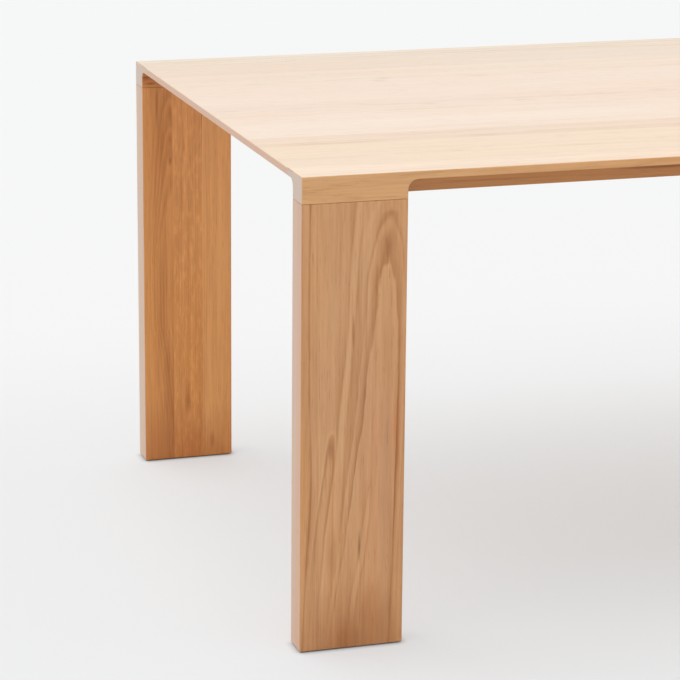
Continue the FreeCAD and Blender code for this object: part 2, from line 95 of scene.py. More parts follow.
class NodeGraph:
    """A node tree, written from its inputs towards its outputs."""

    def __init__(self, tree: bpy.types.NodeTree) -> None:
        """Take the tree that the nodes go into."""
        self.tree = tree

    def add(self, kind: str, inputs: dict[Any, Any], **settings: Any) -> Any:
        """Add a node and feed it.

        Args:
            kind: Blender's name of the node.
            inputs: a node's output or a constant for each, by its name or number.
            settings: properties of the node, by name.

        Returns:
            The node's outputs.
        """
        node = self.tree.nodes.new(kind)
        for name, value in settings.items():
            setattr(node, name, value)
        self.feed(node, inputs)
        return node.outputs

    def feed(self, node: bpy.types.Node, inputs: dict[Any, Any]) -> None:
        """Link inputs of a node, or set their constants.

        Args:
            node: the node.
            inputs: a node's output or a constant for each, by its name or number.
        """
        for name, value in inputs.items():
            socket = node.inputs[name]
            if isinstance(value, bpy.types.NodeSocket):
                self.tree.links.new(value, socket)
            elif isinstance(value, tuple) and socket.type == "RGBA":
                socket.default_value = (*value, 1.0)
            else:
                socket.default_value = value

    def math(self, operation: str, first: Any, second: Any = 0.0, clamp: bool = False) -> Socket:
        """The result of one of Blender's Math operations, held between 0 and 1 on demand."""
        inputs = {0: first, 1: second}
        return self.add("ShaderNodeMath", inputs, operation=operation, use_clamp=clamp)[0]

    def linear(self, value: Socket, gain: float, base: float) -> Socket:
        """A number times a gain, plus a base."""
        return self.math("ADD", self.math("MULTIPLY", value, gain), base)

    def vector(self, operation: str, first: Any, second: Any = (0.0, 0.0, 0.0)) -> Socket:
        """The result of one of Blender's Vector Math operations."""
        outputs = self.add("ShaderNodeVectorMath", {0: first, 1: second}, operation=operation)
        return outputs["Value" if operation == "LENGTH" else "Vector"]

    def scale(self, vector: Any, factor: Socket) -> Socket:
        """A vector or colour times a number."""
        inputs = {0: vector, "Scale": factor}
        return self.add("ShaderNodeVectorMath", inputs, operation="SCALE")["Vector"]

    def combine(self, x: Socket, y: Socket, z: Socket) -> Socket:
        """A vector made of three numbers."""
        return self.add("ShaderNodeCombineXYZ", {0: x, 1: y, 2: z})[0]

    def separate(self, vector: Socket) -> Sequence[Socket]:
        """The three numbers of a vector."""
        return self.add("ShaderNodeSeparateXYZ", {0: vector})

    def noise(self, place: Socket, texture: Texture) -> Sequence[Socket]:
        """Add noise.

        Args:
            place: where a point is, in metres.
            texture: what the noise is like.

        Returns:
            The noise as a number and as a colour.
        """
        scaled = self.vector("MULTIPLY", place, texture.stretch)
        inputs = {"Vector": scaled, "Scale": 1.0, "Detail": texture.detail}
        inputs["Roughness"] = texture.roughness
        return self.add("ShaderNodeTexNoise", inputs, noise_dimensions="3D")

    def swing(self, place: Socket, texture: Texture, span: Any) -> Socket:
        """Noise that swings about nought, over a span."""
        noise = self.noise(place, texture)[0]
        return self.math("MULTIPLY", self.math("SUBTRACT", noise, NOISE_MIDDLE), span)

    def ramp(self, value: Socket, stops: Pairs) -> Socket:
        """Bend a number by a curve of straight pieces.

        Args:
            value: the number.
            stops: the curve's places and its levels there.

        Returns:
            The level at that number.
        """
        output = self.add("ShaderNodeValToRGB", {0: value})[0]
        elements = output.node.color_ramp.elements
        while len(elements) < len(stops):
            elements.new(0.5)
        for element, (place, level) in zip(elements, stops):
            element.position = place
            element.color = (level, level, level, 1.0)
        return output

    def curve(self, value: Socket, points: Pairs, span: float) -> Socket:
        """Bend a number by a smooth curve.

        Args:
            value: the number, as a share of the span.
            points: the curve's places and its levels there, both between 0 and the span.
            span: the curve's length.

        Returns:
            The level at that number.
        """
        output = self.add("ShaderNodeFloatCurve", {"Value": value})[0]
        mapping = output.node.mapping
        curve = mapping.curves[0]
        while len(curve.points) < len(points):
            curve.points.new(0.5, 0.5)
        for point, (place, level) in zip(curve.points, points):
            point.location = (place / span, level / span)
        mapping.update()
        return self.math("MULTIPLY", output, span)

    def smooth_step(self, value: Socket, start: float, end: float) -> Socket:
        """A number turned into a smooth step, from 0 at the start to 1 at the end."""
        inputs = {"Value": value, "From Min": start, "From Max": end}
        return self.add("ShaderNodeMapRange", inputs, interpolation_type="SMOOTHSTEP")[0]

    def blend(self, share: Any, first: Any, second: Any, way: Blend = Blend.MIX) -> Socket:
        """Two colours joined, by a share of the second."""
        inputs = {0: share, 6: first, 7: second}
        return self.add("ShaderNodeMix", inputs, data_type="RGBA", blend_type=way.value)[2]


def new_material(name: str) -> tuple[bpy.types.Material, NodeGraph, bpy.types.Node]:
    """Make a material with a Principled shader.

    Args:
        name: the material's name.

    Returns:
        The material, its graph and its shader.
    """
    material = bpy.data.materials.new(name)
    material.use_nodes = True
    graph = NodeGraph(material.node_tree)
    shader = material.node_tree.nodes["Principled BSDF"]
    return material, graph, shader


def dress(node: bpy.types.Object, material: bpy.types.Material) -> None:
    """Give every slot of a CAD node's object one material, and report it.

    Args:
        node: the object.
        material: the material.
    """
    if not node.data.materials:
        node.data.materials.append(material)
    for slot in node.material_slots:
        slot.link = "OBJECT"
        slot.material = material
    log.info("dressed %s", node.name)


# ------------ figures and marks


@dataclass(frozen=True)
class BoardPlace:
    """Where a point is in a board, across, through and along it, for the nodes of its material."""

    graph: NodeGraph
    place: Socket
    seed: float

    def shifted(self) -> Socket:
        """The place moved by the board's seed, so that no two boards share their noise."""
        return self.graph.vector("ADD", self.place, (self.seed,) * 3)


@dataclass(frozen=True)
class Figure:
    """Bold ring lines in the face of a board; lengths are in metres.

    The middle of the rings across the board, and its depth behind the face, are curves over
    places along the board.  The tones say how dark the wood is at distances from that middle, where
    neutral is plain wood, and the fades how strong the figure is along the board.
    """

    across: Pairs
    tones: Pairs
    depth: Pairs = ((0.0, 0.0), (0.71, 0.0))
    fades: Pairs = ((0.0, 1.0), (0.71, 1.0))
    wobble: float = 0.0022
    neutral: float = 0.3
    length: float = 0.71
    reach: float = 0.16

    # Slow and quick noise in the rings' radius, each with its share of the wobble.
    WOBBLES = ((Texture((30.0, 30.0, 5.0)), 2.0), (Texture((150.0, 150.0, 20.0)), 0.8))
    UNEVEN = Texture((38.0, 38.0, 7.0))
    UNEVEN_LEVELS = ((0.3, 0.55), (0.7, 1.25))

    def build(self, board: BoardPlace) -> Socket:
        """Write the figure's nodes.

        Args:
            board: where a point is in the board.

        Returns:
            How much darker than plain wood the figure makes that point.
        """
        graph, shifted = board.graph, board.shifted()
        wide, _, along = graph.separate(board.place)
        share = graph.math("DIVIDE", along, self.length)
        offset = graph.math("SUBTRACT", wide, graph.curve(share, self.across, self.length))
        depth = graph.curve(share, self.depth, self.length)
        squares = [graph.math("MULTIPLY", value, value) for value in (offset, depth)]
        radius = graph.math("SQRT", graph.math("ADD", *squares))
        for texture, part in self.WOBBLES:
            radius = graph.math("ADD", radius, graph.swing(shifted, texture, self.wobble * part))
        stops = [(distance / self.reach, tone) for distance, tone in self.tones]
        tone = graph.ramp(graph.math("DIVIDE", radius, self.reach), stops)
        uneven = graph.ramp(graph.noise(shifted, self.UNEVEN)[0], self.UNEVEN_LEVELS)
        fade = graph.ramp(share, [(height / self.length, level) for height, level in self.fades])
        tone = graph.math("MULTIPLY", graph.math("SUBTRACT", tone, self.neutral), uneven)
        return graph.math("MULTIPLY", tone, fade)


@dataclass(frozen=True)
class Patch:
    """A soft oval of another tone in a board; its centre and reach are in metres."""

    centre: Triple
    reach: Triple
    tint: Colour
    soft: float = 0.8
    ragged: float = 0.4

    OUTLINE = Texture((75.0, 75.0, 9.0), detail=3.0)

    def build(self, board: BoardPlace, colour: Socket) -> Socket:
        """Write the patch's nodes.

        Args:
            board: where a point is in the board.
            colour: the wood's colour without the patch.

        Returns:
            The wood's colour with the patch.
        """
        graph = board.graph
        inverse = tuple(1.0 / reach for reach in self.reach)
        offset = graph.vector("SUBTRACT", board.place, self.centre)
        distance = graph.vector("LENGTH", graph.vector("MULTIPLY", offset, inverse))
        if self.ragged:
            uneven = graph.swing(board.shifted(), self.OUTLINE, 2 * self.ragged)
            distance = graph.math("ADD", distance, uneven)
        share = graph.ramp(distance, ((1.0 - self.soft, 1.0), (1.0, 0.0)))
        return graph.blend(share, colour, self.tint, Blend.MULTIPLY)


@dataclass(frozen=True)
class Flecks:
    """Short dark marks in a row along a board; lengths are in metres, and marks per metre."""

    line: float
    width: float
    marks: float
    share: float
    tint: Colour = (0.80, 0.68, 0.58)

    FINENESS = 260.0
    MARK_EDGE = (0.54, 0.64)
    ROW_EDGE = (0.4, 1.0)

    def build(self, board: BoardPlace, colour: Socket) -> Socket:
        """Write the nodes of the marks.

        Args:
            board: where a point is in the board.
            colour: the wood's colour without the marks.

        Returns:
            The wood's colour with the marks.
        """
        graph = board.graph
        noise = graph.noise(board.shifted(), Texture((self.FINENESS, 0.0, self.marks)))[0]
        marks = graph.ramp(noise, tuple(zip(self.MARK_EDGE, (0.0, self.share))))
        wide = graph.separate(board.place)[0]
        offset = graph.math("ABSOLUTE", graph.math("SUBTRACT", wide, self.line))
        offset = graph.math("DIVIDE", offset, self.width)
        near = graph.ramp(offset, tuple(zip(self.ROW_EDGE, (1.0, 0.0))))
        share = graph.math("MULTIPLY", marks, near)
        return graph.blend(share, colour, self.tint, Blend.MULTIPLY)


@dataclass(frozen=True)
class Cut:
    """How a board was sawn from its log; lengths are in metres.

    The pith runs along the board, at a place counted from the board's lowest corner across its
    width and thickness, and leans by so much for each metre along the board.
    """

    pith: tuple[float, float] = (0.05, 0.05)
    lean: tuple[float, float] = (0.0, 0.0)
    ring: float = 0.0034
    wander: float = 0.012
    wobble: float = 0.002
    contrast: float = 0.8
    streaks: float = 0.6
    seed: float = 1.0
    plain: float = 0.15
    tint: Colour = (1.0, 1.0, 1.0)
    rays: float = 0.0
    figures: tuple[Figure, ...] = ()
    marks: tuple[Patch | Flecks, ...] = ()


# ------------ finishes


class WoodGroup:
    """The node group that turns a place in a board into colour, roughness and relief."""

    NAME = "SolidWood"
    NUMBERS = ("Ring", "Wander", "Wobble", "Contrast", "Streaks", "Seed", "Rays")
    INPUTS = {
        "NodeSocketVector": ("Place", "Pith", "Lean"),
        "NodeSocketFloat": (*NUMBERS, "Figure"),
        "NodeSocketColor": ("Light", "Dark", "Warm"),
    }
    OUTPUTS = {"NodeSocketColor": ("Color",), "NodeSocketFloat": ("Roughness", "Height")}

    BEND = Texture((2.6, 2.6, 2.1), detail=1.5)
    WOBBLE = Texture((42.0, 42.0, 6.5), detail=3.5, roughness=0.6)
    CLOUD = Texture((6.0, 6.0, 1.7))
    STREAK = Texture((24.0, 24.0, 1.3), detail=4.0, roughness=0.55)
    BAND = Texture((95.0, 95.0, 3.0))
    RAY = Texture((170.0, 170.0, 38.0), detail=3.0, roughness=0.6)
    COARSE = Texture((330.0, 330.0, 9.0), detail=3.0, roughness=0.6)
    PORE = Texture((820.0, 820.0, 34.0), detail=1.0)
    FIBRE = Texture((1300.0, 1300.0, 24.0))

    # Places and levels of the ramps: darkness across a ring, pores, rays and warm clouds.
    RING_PROFILE = ((0.0, 1.0), (0.06, 0.82), (0.22, 0.42), (0.5, 0.13), (0.86, 0.0), (1.0, 0.3))
    PORE_LEVELS = ((0.0, 0.0), (0.6, 0.0), (0.68, 1.0))
    RAY_LEVELS = ((0.48, 0.0), (0.68, 1.0))
    WARM_LEVELS = ((0.35, 0.0), (0.7, 0.75))

    SEED_SHIFT = (7.13, 3.37, 1.71)
    YEARS = {"Scale": 0.23, "Detail": 1.0}
    YEAR_SPREAD = 2.6
    STRENGTH_POWER = 1.6
    WEAKEST_RING = 0.15
    PORES_BETWEEN_RINGS = 0.25
    PORE_SHARE = 0.45
    PORE_TINT = (0.65, 0.46, 0.28)
    COARSE_SPAN = 0.6
    BAND_SHARE = 0.8

    # A gain and a base for the fibres' lightness and roughness, then what rings and pores add.
    FIBRE_LIGHTNESS = (0.16, 0.92)
    FIBRE_ROUGHNESS = (0.14, 0.36)
    RING_ROUGHNESS = 0.1
    PORE_DEPTH = 0.9
    RING_DEPTH = 0.35

    def build(self) -> bpy.types.NodeTree:
        """Make the group.

        Returns:
            The node group.
        """
        tree = bpy.data.node_groups.new(self.NAME, "ShaderNodeTree")
        for way, kinds in (("INPUT", self.INPUTS), ("OUTPUT", self.OUTPUTS)):
            for kind, names in kinds.items():
                for name in names:
                    tree.interface.new_socket(name, in_out=way, socket_type=kind)
        graph = NodeGraph(tree)
        given = graph.add("NodeGroupInput", {})
        shift = graph.vector("MULTIPLY", self.SEED_SHIFT, given["Seed"])
        seeded = graph.vector("ADD", given["Place"], shift)

        line, strength = self._rings(graph, given, seeded)
        ring_dark = graph.math("MULTIPLY", line, strength)
        ring_dark = graph.math("MULTIPLY", ring_dark, given["Contrast"])
        fibre = graph.noise(seeded, self.FIBRE)[0]
        pores = graph.ramp(graph.noise(seeded, self.PORE)[0], self.PORE_LEVELS)
        ringed = graph.math("ADD", line, self.PORES_BETWEEN_RINGS, clamp=True)
        pores = graph.math("MULTIPLY", pores, ringed)

        darkness = self._darkness(graph, given, seeded, ring_dark)
        warmth = graph.ramp(graph.noise(seeded, self.CLOUD)[0], self.WARM_LEVELS)
        colour = graph.blend(warmth, given["Light"], given["Warm"])
        colour = graph.blend(darkness, colour, given["Dark"])
        pore_share = graph.math("MULTIPLY", pores, self.PORE_SHARE)
        colour = graph.blend(pore_share, colour, self.PORE_TINT, Blend.MULTIPLY)
        colour = graph.scale(colour, graph.linear(fibre, *self.FIBRE_LIGHTNESS))

        rough = graph.linear(fibre, *self.FIBRE_ROUGHNESS)
        rough = graph.math("ADD", rough, graph.math("MULTIPLY", ring_dark, self.RING_ROUGHNESS))
        relief = graph.math("SUBTRACT", fibre, graph.math("MULTIPLY", pores, self.PORE_DEPTH))
        relief = graph.math("SUBTRACT", relief, graph.math("MULTIPLY", line, self.RING_DEPTH))
        graph.add("NodeGroupOutput", {"Color": colour, "Roughness": rough, "Height": relief})
        return tree

    def _rings(self, graph: NodeGraph, given: Any, seeded: Socket) -> tuple[Socket, Socket]:
        """Lay out the growth rings.

        Args:
            graph: the group.
            given: the group's inputs.
            seeded: the place in the board, moved by its seed.

        Returns:
            How dark the ring is at a place, and how strong that ring is.
        """
        along = graph.separate(given["Place"])[2]
        bend = graph.vector("SUBTRACT", graph.noise(seeded, self.BEND)[1], (NOISE_MIDDLE,) * 3)
        bend = graph.vector("MULTIPLY", bend, given["Wander"])
        leaning = graph.vector("MULTIPLY", given["Lean"], along)
        from_pith = graph.vector("SUBTRACT", given["Place"], given["Pith"])
        from_pith = graph.vector("SUBTRACT", from_pith, leaning)
        from_pith = graph.vector("ADD", from_pith, bend)
        from_pith = graph.vector("MULTIPLY", from_pith, (1.0, 1.0, 0.0))
        radius = graph.vector("LENGTH", from_pith)
        radius = graph.math("ADD", radius, graph.swing(seeded, self.WOBBLE, given["Wobble"]))
        rings = graph.math("DIVIDE", radius, given["Ring"])
        years = {"W": graph.math("ADD", rings, given["Seed"]), **self.YEARS}
        uneven = graph.add("ShaderNodeTexNoise", years, noise_dimensions="1D")[0]
        rings = graph.math("ADD", rings, graph.math("MULTIPLY", uneven, self.YEAR_SPREAD))
        line = graph.ramp(graph.math("FRACT", rings), self.RING_PROFILE)
        year = {"W": graph.math("ADD", graph.math("FLOOR", rings), given["Seed"])}
        chance = graph.add("ShaderNodeTexWhiteNoise", year, noise_dimensions="1D")[0]
        strength = graph.math("POWER", chance, self.STRENGTH_POWER)
        return line, graph.linear(strength, 1.0 - self.WEAKEST_RING, self.WEAKEST_RING)

    def _darkness(self, graph: NodeGraph, given: Any, seeded: Socket, ring_dark: Socket) -> Socket:
        """Sum up what darkens the wood.

        Args:
            graph: the group.
            given: the group's inputs.
            seeded: the place in the board, moved by its seed.
            ring_dark: how much the rings darken it.

        Returns:
            The darkness, between 0 and 1.
        """
        rays = graph.ramp(graph.noise(seeded, self.RAY)[0], self.RAY_LEVELS)
        band = graph.swing(seeded, self.BAND, given["Streaks"])
        darkness = ring_dark
        for part in (
            graph.swing(seeded, self.STREAK, given["Streaks"]),
            graph.swing(seeded, self.COARSE, self.COARSE_SPAN),
            graph.math("MULTIPLY", rays, graph.math("MULTIPLY", given["Rays"], -1.0)),
            graph.math("MULTIPLY", band, self.BAND_SHARE),
        ):
            darkness = graph.math("ADD", darkness, part)
        return graph.math("ADD", darkness, given["Figure"], clamp=True)


@dataclass(frozen=True)
class Tones:
    """Colours of a wood: plain wood, ring lines and warm clouds, then what its sides tend to.

    The tone for the sides that look along the table is painted light, in place of the glare and the
    brighter light on those sides; the upward tone, where there is one, is painted light as well:
    upper sides painted paler in place of the light from above.
    """

    light: Colour
    dark: Colour
    warm: Colour
    end_grain: Colour
    # painted light: the tone of the sides that look along the table, in place of glare and brighter
    # light there
    edge: Colour
    # painted light: the paler tone of upper sides, in place of the light from above
    upward: Optional[Colour] = None


@dataclass(frozen=True)
class WoodFinish:
    """Solid lacquered wood; every board that it dresses has a cut of its own."""

    tones: Tones
    ior: float = 1.5
    specular: float = 0.0
    coat: float = 1.0
    coat_roughness: float = 0.3
    bump: float = 0.35
    bump_depth: float = 0.0003
    side_sharpness: float = 4.0
    end_share: float = 0.6
    # share of the painted side light on the sides that look along the table
    painted_side_light_share: float = 0.85
    # facing from which upper sides get the painted upward light
    painted_upward_light_from: float = 0.75

    def build(self, node: bpy.types.Object, grain: Grain, cut: Cut) -> bpy.types.Material:
        """Make the material of one board.

        Args:
            node: the board's object.
            grain: the way its fibres run.
            cut: how it was sawn.

        Returns:
            The new material.
        """
        material, graph, shader = new_material(f"wood_{node.name}")
        low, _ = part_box(node.name)
        coordinates = graph.add("ShaderNodeTexCoord", {})
        parts = graph.separate(graph.vector("SUBTRACT", coordinates["Object"], tuple(low)))
        place = graph.combine(*(parts[axis] for axis in grain.value))
        board = BoardPlace(graph, place, cut.seed)
        wood = self._add_wood(board, cut)
        colour = wood["Color"]
        for mark in cut.marks:
            colour = mark.build(board, colour)
        bump = {"Strength": self.bump, "Distance": self.bump_depth, "Height": wood["Height"]}
        inputs = {
            "Base Color": self._by_side(graph, coordinates["Normal"], grain, wood, colour),
            "Roughness": wood["Roughness"],
            "IOR": self.ior,
            "Specular IOR Level": self.specular,
            "Coat Weight": self.coat,
            "Coat Roughness": self.coat_roughness,
            "Normal": graph.add("ShaderNodeBump", bump)[0],
        }
        graph.feed(shader, inputs)
        return material

    def _add_wood(self, board: BoardPlace, cut: Cut) -> Any:
        """Add the node group, with the values of one board.

        Args:
            board: where a point is in the board.
            cut: how the board was sawn.

        Returns:
            The group's outputs.
        """
        group = bpy.data.node_groups.get(WoodGroup.NAME) or WoodGroup().build()
        darkness: Any = cut.plain
        for figure in cut.figures:
            darkness = board.graph.math("ADD", darkness, figure.build(board))
        values = {"Place": board.place, "Figure": darkness}
        values |= {"Pith": (*cut.pith, 0.0), "Lean": (*cut.lean, 0.0)}
        values |= {name: getattr(cut, name.lower()) for name in WoodGroup.NUMBERS}
        for name in WoodGroup.INPUTS["NodeSocketColor"]:
            tone = getattr(self.tones, name.lower())
            values[name] = tuple(part * share for part, share in zip(tone, cut.tint))
        return board.graph.add("ShaderNodeGroup", values, node_tree=group)

    def _by_side(
        self, graph: NodeGraph, normal: Socket, grain: Grain, wood: Any, colour: Socket
    ) -> Socket:
        """Shift the colour on the ends of a board to its end grain, and paint light onto its edges
        and upper sides.

        Args:
            graph: the board's material.
            normal: the way that a point faces.
            grain: the way that the fibres run.
            wood: the outputs of the node group.
            colour: the colour with its marks.

        Returns:
            The shifted colour.
        """
        facing = graph.separate(normal)
        sides = (
            (facing[grain.value[2]], self.end_share, self.tones.end_grain),
            # painted light on the sides that look along the table
            (facing[0], self.painted_side_light_share, self.tones.edge),
        )
        for towards, most, tone in sides:
            share = graph.math("POWER", graph.math("ABSOLUTE", towards), self.side_sharpness)
            colour = graph.blend(graph.math("MULTIPLY", share, most), colour, tone)
        # painted light: upper sides paler, in place of the light from above
        if self.tones.upward:
            gain = tuple(up / light for up, light in zip(self.tones.upward, self.tones.light))
            share = graph.ramp(facing[2], ((0.0, 0.0), (self.painted_upward_light_from, 0.0), (1.0, 1.0)))
            colour = graph.blend(share, colour, graph.vector("MULTIPLY", wood["Color"], gain))
        return colour


@dataclass(frozen=True)
class Speckle:
    """Noise that lightens and darkens a colour, with its gain and its base."""

    texture: Texture
    gain: float
    base: float

    def build(self, graph: NodeGraph, colour: Colour) -> tuple[Socket, Socket]:
        """Write the nodes of the noise.

        Args:
            graph: the material's graph.
            colour: the colour without the noise.

        Returns:
            The noise, and the colour with it.
        """
        place = graph.add("ShaderNodeTexCoord", {})["Object"]
        noise = graph.noise(place, self.texture)[0]
        return noise, graph.scale(colour, graph.linear(noise, self.gain, self.base))


@dataclass(frozen=True)
class FeltFinish:
    """Dense wool felt."""

    colour: Colour = (0.03, 0.024, 0.02)
    speckle: Speckle = Speckle(Texture((2600.0,) * 3, detail=3.0), 0.9, 0.5)
    roughness: float = 0.95
    fuzz_depth: float = 0.0004

    def build(self) -> bpy.types.Material:
        """Make the material.

        Returns:
            The new material.
        """
        material, graph, shader = new_material("wool_felt")
        fuzz, colour = self.speckle.build(graph, self.colour)
        relief = graph.add("ShaderNodeBump", {"Distance": self.fuzz_depth, "Height": fuzz})[0]
        inputs = {"Base Color": colour, "Roughness": self.roughness, "Normal": relief}
        graph.feed(shader, inputs)
        return material


@dataclass(frozen=True)
class ZincFinish:
    """Bright zinc-plated steel."""

    colour: Colour = (0.62, 0.63, 0.65)
    speckle: Speckle = Speckle(Texture((420.0,) * 3, detail=4.0), 0.5, 0.7)
    roughness: tuple[float, float] = (0.3, 0.2)

    def build(self) -> bpy.types.Material:
        """Make the material.

        Returns:
            The new material.
        """
        material, graph, shader = new_material("zinc_plate")
        cloud, colour = self.speckle.build(graph, self.colour)
        rough = graph.linear(cloud, *self.roughness)
        graph.feed(shader, {"Base Color": colour, "Roughness": rough, "Metallic": 1.0})
        return material


# The tone for the sides that look along the table is painted light, in place of the glare and
# brighter light on those sides.
LEG_TONES = Tones(
    light=(0.775, 0.42, 0.20),
    dark=(0.45, 0.168, 0.040),
    warm=(0.77, 0.375, 0.14),
    end_grain=(0.56, 0.36, 0.21),
    edge=(0.635, 0.37, 0.235),
)
STAVE_TONES = replace(
    LEG_TONES,
    light=(0.88, 0.41, 0.133),
    dark=(0.46, 0.158, 0.028),
    warm=(0.87, 0.375, 0.10),
    edge=(0.60, 0.41, 0.295),
)
# The rails' upward tones are painted light: their upper faces are painted paler in place of the
# light from above.
RAIL_TONES = replace(
    LEG_TONES,
    light=(0.83, 0.46, 0.20),
    warm=(0.83, 0.42, 0.16),
    edge=(0.60, 0.46, 0.37),
    upward=(0.955, 0.756, 0.572),
)
BACK_RAIL_TONES = replace(RAIL_TONES, upward=(0.89, 0.773, 0.635))
# The top's boards are paler than the legs' wood; part of that paleness is painted light, in place
# of the light from above and the glare on the top.
TOP_TONES = Tones(
    light=(0.88, 0.68, 0.52),
    dark=(0.72, 0.51, 0.365),
    warm=(0.88, 0.64, 0.45),
    end_grain=(0.56, 0.40, 0.28),
    edge=(0.65, 0.35, 0.20),
)
UNDER_TONES = replace(LEG_TONES, light=(0.60, 0.33, 0.14))


# ------------ sub-assemblies

# The seed of the cuts that are drawn by chance.
CHANCE_SEED = 41


@dataclass
class Table:
    """What the sub-assemblies share: the CAD nodes and a seeded source of chance."""

    nodes: dict[str, bpy.types.Object]
    chance: random.Random = field(default_factory=partial(random.Random, CHANCE_SEED))

    FLAT_SAWN_SHARE = 0.6
    # Ranges for the pith: FLAT_ACROSS is a share of the board's width, the others are metres.
    FLAT_DEPTH = (0.02, 0.05)
    FLAT_ACROSS = (0.2, 0.8)
    RIFT_DEPTH = (-0.01, 0.01)
    RIFT_BESIDE = (0.05, 0.1)
    LEANS = ((-0.02, 0.02), (-0.03, 0.03))
    SEEDS = (1.0, 30.0)

    def chance_cut(self, width: float, thickness: float) -> Cut:
        """Draw a cut for a board that nothing is known about.

        Args:
            width: the board's width.
            thickness: the board's thickness.

        Returns:
            The cut.
        """
        draw = self.chance.uniform
        if self.chance.random() < self.FLAT_SAWN_SHARE:
            depth = draw(*self.FLAT_DEPTH)
            across = draw(*self.FLAT_ACROSS) * width
        else:
            depth = draw(*self.RIFT_DEPTH)
            across = width + draw(*self.RIFT_BESIDE)
        lean = tuple(draw(*limits) for limits in self.LEANS)
        return Cut(pith=(across, thickness + depth), lean=lean, seed=draw(*self.SEEDS))

    def dress_board(
        self, name: str, finish: WoodFinish, grain: Grain, cut: Optional[Cut] = None
    ) -> None:
        """Give a board its wood.

        Args:
            name: the board's node.
            finish: the wood.
            grain: the way its fibres run.
            cut: how it was sawn, or None for a cut by chance.
        """
        node = self.nodes[name]
        low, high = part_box(name)
        size = high - low
        wide, thick, _ = grain.value
        dress(node, finish.build(node, grain, cut or self.chance_cut(size[wide], size[thick])))


@dataclass
class TopPanel:
    """The edge-glued boards of the top."""

    cuts: dict[int, Cut]

    def dress(self, table: Table) -> None:
        """Give every board its wood."""
        for number, cut in self.cuts.items():
            table.dress_board(f"top_board_{number}", WoodFinish(TOP_TONES), Grain.ALONG, cut)


@dataclass
class SideRails:
    """The two planks that carry the lips and the ears."""

    front_cut: Cut
    back_cut: Cut

    def dress(self, table: Table) -> None:
        """Give both rails their wood."""
        table.dress_board("side_rail_front", WoodFinish(RAIL_TONES), Grain.ALONG, self.front_cut)
        table.dress_board("side_rail_back", WoodFinish(BACK_RAIL_TONES), Grain.ALONG, self.back_cut)


@dataclass
class CrossMembers:
    """The battens and the end rails under the top, in wood with a thinner lacquer."""

    names: tuple[str, ...] = (
        "end_rail_left",
        "batten_left",
        "batten_middle",
        "batten_right",
        "end_rail_right",
    )
    finish: WoodFinish = WoodFinish(UNDER_TONES, coat=0.3, coat_roughness=0.5)

    def dress(self, table: Table) -> None:
        """Give every cross member its wood."""
        for name in self.names:
            table.dress_board(name, self.finish, Grain.ACROSS)


@dataclass
class Leg:
    """One leg: its face board, its three staves and its foot pad."""

    corner: Corner
    face_cut: Optional[Cut] = None
    # painted side light on the face board's sides that look along the table
    face_painted_side_light: Colour = LEG_TONES.edge
    stave_cuts: tuple[Optional[Cut], Optional[Cut], Optional[Cut]] = (None, None, None)

    def dress(self, table: Table) -> None:
        """Give the leg's pieces their wood and felt.

        Args:
            table: the table's nodes.
        """
        corner = self.corner.value
        finish = WoodFinish(replace(LEG_TONES, edge=self.face_painted_side_light))
        table.dress_board(f"leg_face_board_{corner}", finish, Grain.UPRIGHT, self.face_cut)
        finish = WoodFinish(STAVE_TONES)
        for number, cut in enumerate(self.stave_cuts, start=1):
            table.dress_board(f"leg_stave_{number}_{corner}", finish, Grain.UPRIGHT, cut)
        dress(table.nodes[f"foot_pad_{corner}"], FeltFinish().build())


@dataclass
class LegFasteners:
    """The bolts that lock the legs' tenons, and the inserts that they run into."""

    names: tuple[str, ...] = ("rail_bolts", "threaded_inserts")

    def dress(self, table: Table) -> None:
        """Give the fasteners their plating.

        Args:
            table: the table's nodes.
        """
        finish = ZincFinish().build()
        for name in self.names:
            dress(table.nodes[name], finish)


# ------------ studio


